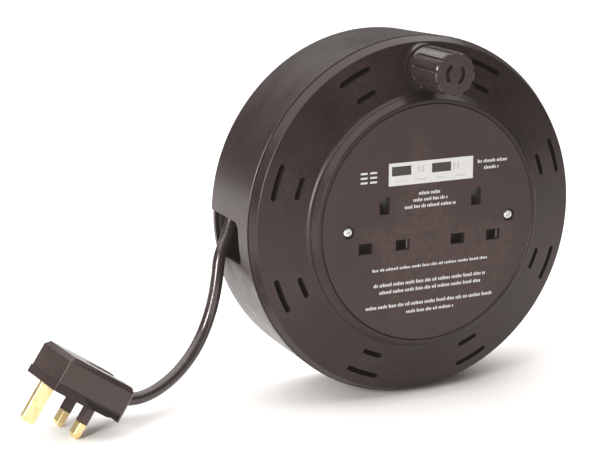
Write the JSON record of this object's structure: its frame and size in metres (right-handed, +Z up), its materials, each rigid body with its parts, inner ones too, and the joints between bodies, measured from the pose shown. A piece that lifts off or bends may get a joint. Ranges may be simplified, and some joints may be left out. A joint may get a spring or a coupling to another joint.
{
  "type": "extension cord reel",
  "caption": "Cassette cord reel: a drum of flex turns in a round case by an offset knob, sockets in its hub, and a three-pin plug on a short lead.",
  "frame": {"origin": "on the ground under the middle of the reel's own box, the lead and plug left out", "axes": "+Z up, the sockets and the knob face -Y, the spool's axis is parallel to Y, and the lead leaves on the -X side"},
  "size_m": [0.3176, 0.094, 0.1982],
  "materials": {
    "case_plastic": "satin, finely moulded",
    "drum_plastic": "satin",
    "panel_plastic": "satin",
    "knob_plastic": "polished",
    "plug_plastic": "semi-gloss",
    "flex_sheath": "satin PVC sheath",
    "core_brown": "satin",
    "core_blue": "satin",
    "core_green_yellow": "satin",
    "label_white": "printed white plate",
    "insulator": "unpainted",
    "shutter_plastic": "smooth",
    "brass": "plain",
    "steel_zinc": "zinc plated",
    "spring_steel": "plain wire",
    "fuse_ceramic": "ceramic tube"
  },
  "bodies": {
    "root": {"rear_case": "case_plastic", "spindle_washer": "steel_zinc", "spindle_screw": "steel_zinc", "supply_cord": "flex_sheath", "plug_base": "plug_plastic", "plug_cover": "plug_plastic", "plug_earth_pin": "brass", "plug_line_pin": "brass", "plug_neutral_pin": "brass", "pin_sleeves": "plug_plastic", "plug_fuse": "fuse_ceramic", "fuse_clips": "brass", "plug_cord_grip": "insulator", "grip_screws": "steel_zinc", "plug_cover_screw": "steel_zinc"},
    "spool": {"front_flange": "case_plastic", "spool_drum": "drum_plastic", "drum_screws": "steel_zinc", "wound_cord": "flex_sheath", "socket_panel": "panel_plastic", "panel_screws": "steel_zinc", "rating_label": "label_white", "socket_base": "insulator", "base_screws": "steel_zinc", "earth_bar": "brass", "line_bar": "brass", "neutral_bar": "brass", "terminal_screws": "steel_zinc", "cord_tail": "flex_sheath", "core_line": "core_brown", "core_neutral": "core_blue", "core_earth": "core_green_yellow", "cord_clamp": "insulator", "clamp_screws": "steel_zinc", "knob_stud": "steel_zinc", "knob_washer": "steel_zinc", "knob_screw": "steel_zinc", "spring_left": "spring_steel", "spring_right": "spring_steel"},
    "winding_knob": {"winding_knob": "knob_plastic", "knob_cap": "knob_plastic"},
    "shutter_left": {"shutter_left": "shutter_plastic"},
    "shutter_right": {"shutter_right": "shutter_plastic"}
  },
  "joints": [
    {"name": "spool_spin", "type": "hinge", "parent": "root", "child": "spool", "pos_m": [0, 0, 0.0995], "axis": [0, 1, 0], "continuous": true},
    {"name": "knob_spin", "type": "hinge", "parent": "spool", "child": "winding_knob", "pos_m": [0, -0.047, 0.1826], "axis": [0, 1, 0], "continuous": true},
    {"name": "shutter_left_slide", "type": "slide", "parent": "spool", "child": "shutter_left", "axis": [0, 0, -1], "range_m": [0, 0.0063], "stiffness_N_per_m": 80, "springref_m": -0.004, "deforming": ["spring_left"]},
    {"name": "shutter_right_slide", "type": "slide", "parent": "spool", "child": "shutter_right", "axis": [0, 0, -1], "range_m": [0, 0.0063], "stiffness_N_per_m": 80, "springref_m": -0.004, "deforming": ["spring_right"]}
  ]
}
